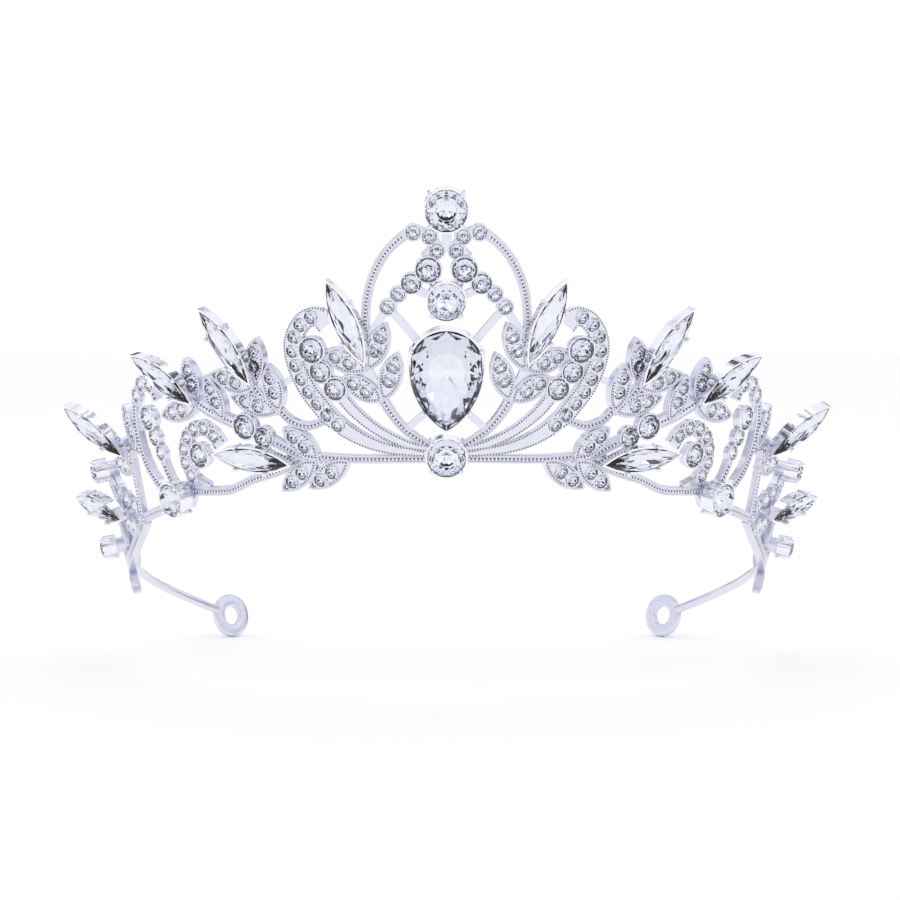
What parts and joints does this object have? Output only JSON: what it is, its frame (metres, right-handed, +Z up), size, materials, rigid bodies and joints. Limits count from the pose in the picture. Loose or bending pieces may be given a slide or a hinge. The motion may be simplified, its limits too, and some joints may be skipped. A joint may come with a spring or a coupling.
{
  "type": "bridal tiara",
  "caption": "Openwork silver-plated bridal tiara set with clear crystals, bent to an oval head, with two bendable arms that end in flat tie loops.",
  "frame": {"origin": "centre of the oval head opening, level with the base line at the front, as worn", "axes": "+Z up as worn, the front faces -Y, +X towards the wearer's left"},
  "size_m": [0.1432, 0.112, 0.0891],
  "materials": {
    "silver_plate": "bright silver plate",
    "silver_cup": "bright silver plate",
    "crystal": "clear cut glass, mirror foil at the back"
  },
  "bodies": {
    "band": {"bottom_stone": "crystal", "bottom_stone_cup": "silver_cup", "crest_casting": "silver_plate", "crest_stones": "crystal", "left_branch_casting": "silver_plate", "left_branch_stones": "crystal", "left_end_casting": "silver_plate", "left_end_cups": "silver_cup", "left_end_stones": "crystal", "left_junction_cup": "silver_cup", "left_junction_stone": "crystal", "left_navette_cup_end": "silver_cup", "left_navette_cup_first": "silver_cup", "left_navette_cup_fourth": "silver_cup", "left_navette_cup_lower": "silver_cup", "left_navette_cup_second": "silver_cup", "left_navette_cup_third": "silver_cup", "left_navette_stone_end": "crystal", "left_navette_stone_first": "crystal", "left_navette_stone_fourth": "crystal", "left_navette_stone_lower": "crystal", "left_navette_stone_second": "crystal", "left_navette_stone_third": "crystal", "left_side_casting": "silver_plate", "left_side_stones": "crystal", "left_wing_casting": "silver_plate", "left_wing_stones": "crystal", "middle_stone": "crystal", "middle_stone_cup": "silver_cup", "pear_setting": "silver_cup", "pear_stone": "crystal", "right_branch_casting": "silver_plate", "right_branch_stones": "crystal", "right_end_casting": "silver_plate", "right_end_cups": "silver_cup", "right_end_stones": "crystal", "right_junction_cup": "silver_cup", "right_junction_stone": "crystal", "right_navette_cup_end": "silver_cup", "right_navette_cup_first": "silver_cup", "right_navette_cup_fourth": "silver_cup", "right_navette_cup_lower": "silver_cup", "right_navette_cup_second": "silver_cup", "right_navette_cup_third": "silver_cup", "right_navette_stone_end": "crystal", "right_navette_stone_first": "crystal", "right_navette_stone_fourth": "crystal", "right_navette_stone_lower": "crystal", "right_navette_stone_second": "crystal", "right_navette_stone_third": "crystal", "right_side_casting": "silver_plate", "right_side_stones": "crystal", "right_wing_casting": "silver_plate", "right_wing_stones": "crystal", "top_stone": "crystal", "top_stone_cup": "silver_cup"},
    "left_arm": {"left_arm_wire": "silver_plate", "left_end_loop": "silver_plate"},
    "right_arm": {"right_arm_wire": "silver_plate", "right_end_loop": "silver_plate"}
  },
  "joints": [
    {"name": "left_arm_bend", "type": "hinge", "parent": "band", "child": "left_arm", "pos_m": [0.0602, 0.01116, -0.0256], "axis": [0, 0, 1], "range_deg": [-12, 15]},
    {"name": "right_arm_bend", "type": "hinge", "parent": "band", "child": "right_arm", "pos_m": [-0.0602, 0.01116, -0.0256], "axis": [0, 0, -1], "range_deg": [-12, 15]}
  ]
}
